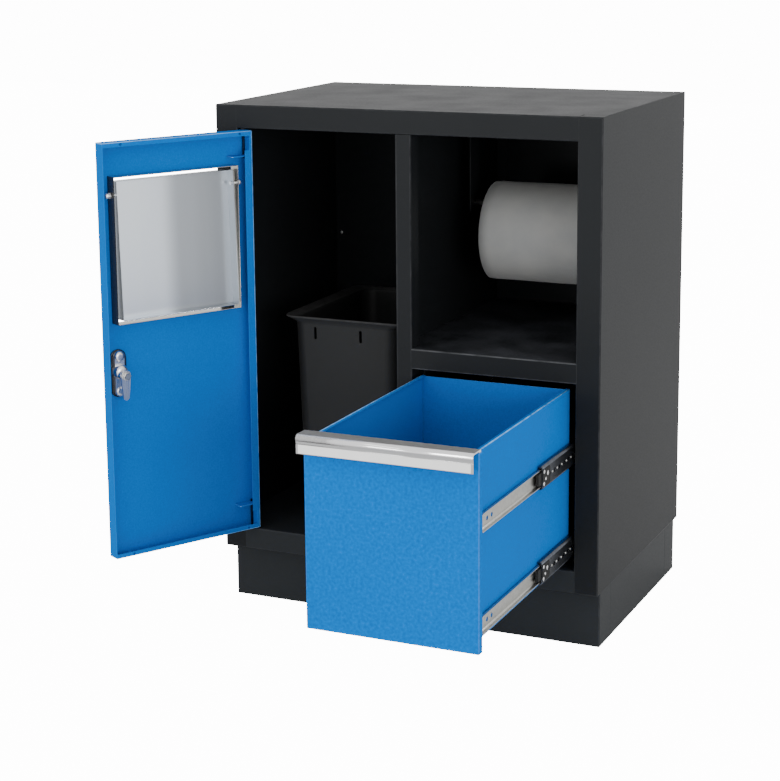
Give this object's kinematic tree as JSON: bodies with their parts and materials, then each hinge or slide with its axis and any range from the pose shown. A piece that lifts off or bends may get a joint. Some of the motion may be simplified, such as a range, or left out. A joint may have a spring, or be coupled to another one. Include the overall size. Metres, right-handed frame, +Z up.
{
  "type": "workshop base cabinet",
  "caption": "Workshop base cabinet on a plinth: a hinged door with a waste flap in front of a loose bin, an open paper-roll bay, and a deep full-extension drawer with a bar handle.",
  "frame": {"origin": "on the floor, under the middle of the front plinth's foot", "axes": "+X to the right seen from the front, +Y to the back, +Z up"},
  "size_m": [0.7741, 0.89, 0.87],
  "materials": {
    "carcass_paint": "satin powder coat",
    "front_paint": "satin powder coat",
    "flap_steel": "brushed",
    "zinc_plate": "bright zinc",
    "dark_zinc": "dark zinc",
    "bright_plate": "polished",
    "handle_aluminium": "satin anodised",
    "black_plastic": "fine texture",
    "paper": "embossed",
    "card": "wound"
  },
  "bodies": {
    "carcass": {"side_panel_left": "carcass_paint", "side_panel_right": "carcass_paint", "top_panel": "carcass_paint", "floor_panel": "carcass_paint", "back_panel": "carcass_paint", "centre_divider": "carcass_paint", "compartment_shelf": "carcass_paint", "plinth_front": "carcass_paint", "plinth_rear": "carcass_paint", "plinth_side_left": "carcass_paint", "plinth_side_right": "carcass_paint", "hinge_washer_lower": "black_plastic", "hinge_washer_upper": "black_plastic", "slide_post_left_front": "carcass_paint", "slide_post_left_rear": "carcass_paint", "slide_post_right_front": "carcass_paint", "slide_post_right_rear": "carcass_paint", "slide_outer_left_lower": "zinc_plate", "slide_outer_left_upper": "zinc_plate", "slide_outer_right_lower": "zinc_plate", "slide_outer_right_upper": "zinc_plate", "roll_bracket_left": "carcass_paint", "roll_bracket_right": "carcass_paint", "roll_axle": "zinc_plate"},
    "door": {"door_panel": "front_paint", "hinge_pin_bracket_lower": "front_paint", "hinge_pin_bracket_upper": "front_paint", "hinge_pin_lower": "zinc_plate", "hinge_pin_upper": "zinc_plate", "flap_frame": "flap_steel", "flap_pivot_bolt_left": "zinc_plate", "flap_pivot_bolt_right": "zinc_plate", "lock_escutcheon": "bright_plate", "lock_backing_plate": "zinc_plate", "lock_screw_lower": "zinc_plate", "lock_screw_upper": "zinc_plate"},
    "flap": {"waste_flap": "flap_steel"},
    "lock": {"lock_knob": "black_plastic", "lock_spindle": "zinc_plate", "lock_cam": "zinc_plate", "lock_cam_nut": "zinc_plate"},
    "drawer": {"drawer_front": "front_paint", "drawer_handle": "handle_aluminium", "drawer_tray": "front_paint", "drawer_back": "front_paint", "slide_inner_left_lower": "zinc_plate", "slide_inner_left_upper": "zinc_plate", "slide_inner_right_lower": "zinc_plate", "slide_inner_right_upper": "zinc_plate"},
    "slide_middle_members": {"slide_middle_left_lower": "dark_zinc", "slide_middle_left_upper": "dark_zinc", "slide_middle_right_lower": "dark_zinc", "slide_middle_right_upper": "dark_zinc", "slide_retainer_left_lower": "black_plastic", "slide_retainer_left_upper": "black_plastic", "slide_retainer_right_lower": "black_plastic", "slide_retainer_right_upper": "black_plastic"},
    "bin": {"waste_bin": "black_plastic"},
    "roll": {"paper_roll": "paper", "roll_core": "card"}
  },
  "joints": [
    {"name": "door_hinge", "type": "hinge", "parent": "carcass", "child": "door", "pos_m": [-0.2905, -0.0385, 0.483], "axis": [0, 0, 1], "range_deg": [0, 119]},
    {"name": "flap_swing", "type": "hinge", "parent": "door", "child": "flap", "pos_m": [-0.35206, -0.16502, 0.7418], "axis": [-0.4848, -0.8746, 0], "range_deg": [-2.5, 67]},
    {"name": "lock_turn", "type": "hinge", "parent": "door", "child": "lock", "pos_m": [-0.39188, -0.26986, 0.447], "axis": [-0.8746, 0.4848, 0], "range_deg": [0, 90]},
    {"name": "drawer_slide", "type": "slide", "parent": "carcass", "child": "drawer", "axis": [0, -1, 0], "range_m": [-0.405, 0]},
    {"name": "slide_middle_run", "type": "slide", "parent": "carcass", "child": "slide_middle_members", "axis": [0, -1, 0], "range_m": [-0.2025, 0]},
    {"name": "bin_lift", "type": "slide", "parent": "carcass", "child": "bin", "axis": [0, 0, 1], "range_m": [0, 0.03]},
    {"name": "roll_spin", "type": "hinge", "parent": "carcass", "child": "roll", "pos_m": [0.179, 0.207, 0.6423], "axis": [1, 0, 0], "continuous": true}
  ],
  "couplings": [
    {"joint": "slide_middle_run", "follows": "drawer_slide", "ratio": 0.5}
  ]
}
